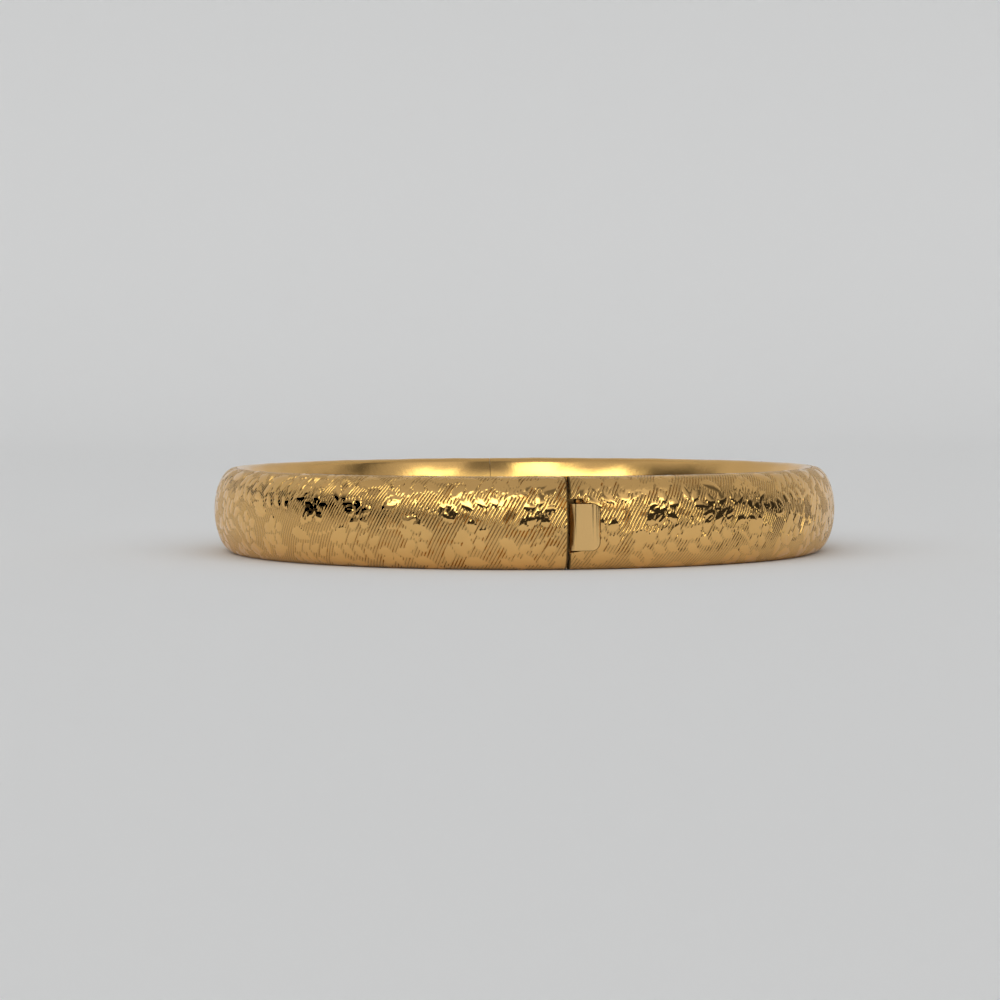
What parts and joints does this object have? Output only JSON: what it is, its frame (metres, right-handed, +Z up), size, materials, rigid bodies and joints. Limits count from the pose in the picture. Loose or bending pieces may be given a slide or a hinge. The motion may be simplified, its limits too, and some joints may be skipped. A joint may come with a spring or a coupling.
{
  "type": "hinged bangle bracelet",
  "caption": "Gold-filled oval bangle worn round the wrist, in two hollow engraved halves that swing on a riveted hinge and lock with a sprung tongue clasp and thumb tab.",
  "frame": {"origin": "centre of the oval at the bottom edge, which rests on the table", "axes": "+Z up through the wrist opening; the hinge is at +Y and the clasp at -Y; the half with the tongue is at -X"},
  "size_m": [0.061, 0.0665, 0.0082],
  "materials": {
    "engraved_gold": "bright-cut engraving on a hatched ground",
    "liner_gold": "polished, lightly worn",
    "tab_gold": "satin polished",
    "plate_gold": "fine satin",
    "hinge_gold": "fine satin",
    "spring_gold": "rolled strip, satin"
  },
  "bodies": {
    "left_half": {"outer_shell_left": "engraved_gold", "inner_liner_left": "liner_gold", "clasp_end_plate": "plate_gold", "tongue_leaf": "spring_gold", "hinge_end_plate_left": "plate_gold", "hinge_knuckle_1": "hinge_gold", "hinge_knuckle_3": "hinge_gold", "hinge_knuckle_5": "hinge_gold", "hinge_pin": "hinge_gold"},
    "right_half": {"outer_shell_right": "engraved_gold", "inner_liner_right": "liner_gold", "catch_plate": "plate_gold", "receiver_channel": "plate_gold", "hinge_end_plate_right": "plate_gold", "hinge_knuckle_2": "hinge_gold", "hinge_knuckle_4": "hinge_gold"},
    "thumb_latch": {"spring_leaf": "spring_gold", "thumb_tab": "tab_gold"}
  },
  "joints": [
    {"name": "bangle_hinge", "type": "hinge", "parent": "left_half", "child": "right_half", "pos_m": [0, 0.03245, 0.0041], "axis": [0, 0, 1], "range_deg": [0, 60]},
    {"name": "tab_press", "type": "hinge", "parent": "left_half", "child": "thumb_latch", "pos_m": [0.00765, -0.03076, 0.0041], "axis": [0, 0, -1], "range_deg": [0, 4.2], "stiffness_Nm_per_rad": 0.2, "deforming": ["spring_leaf"]}
  ]
}
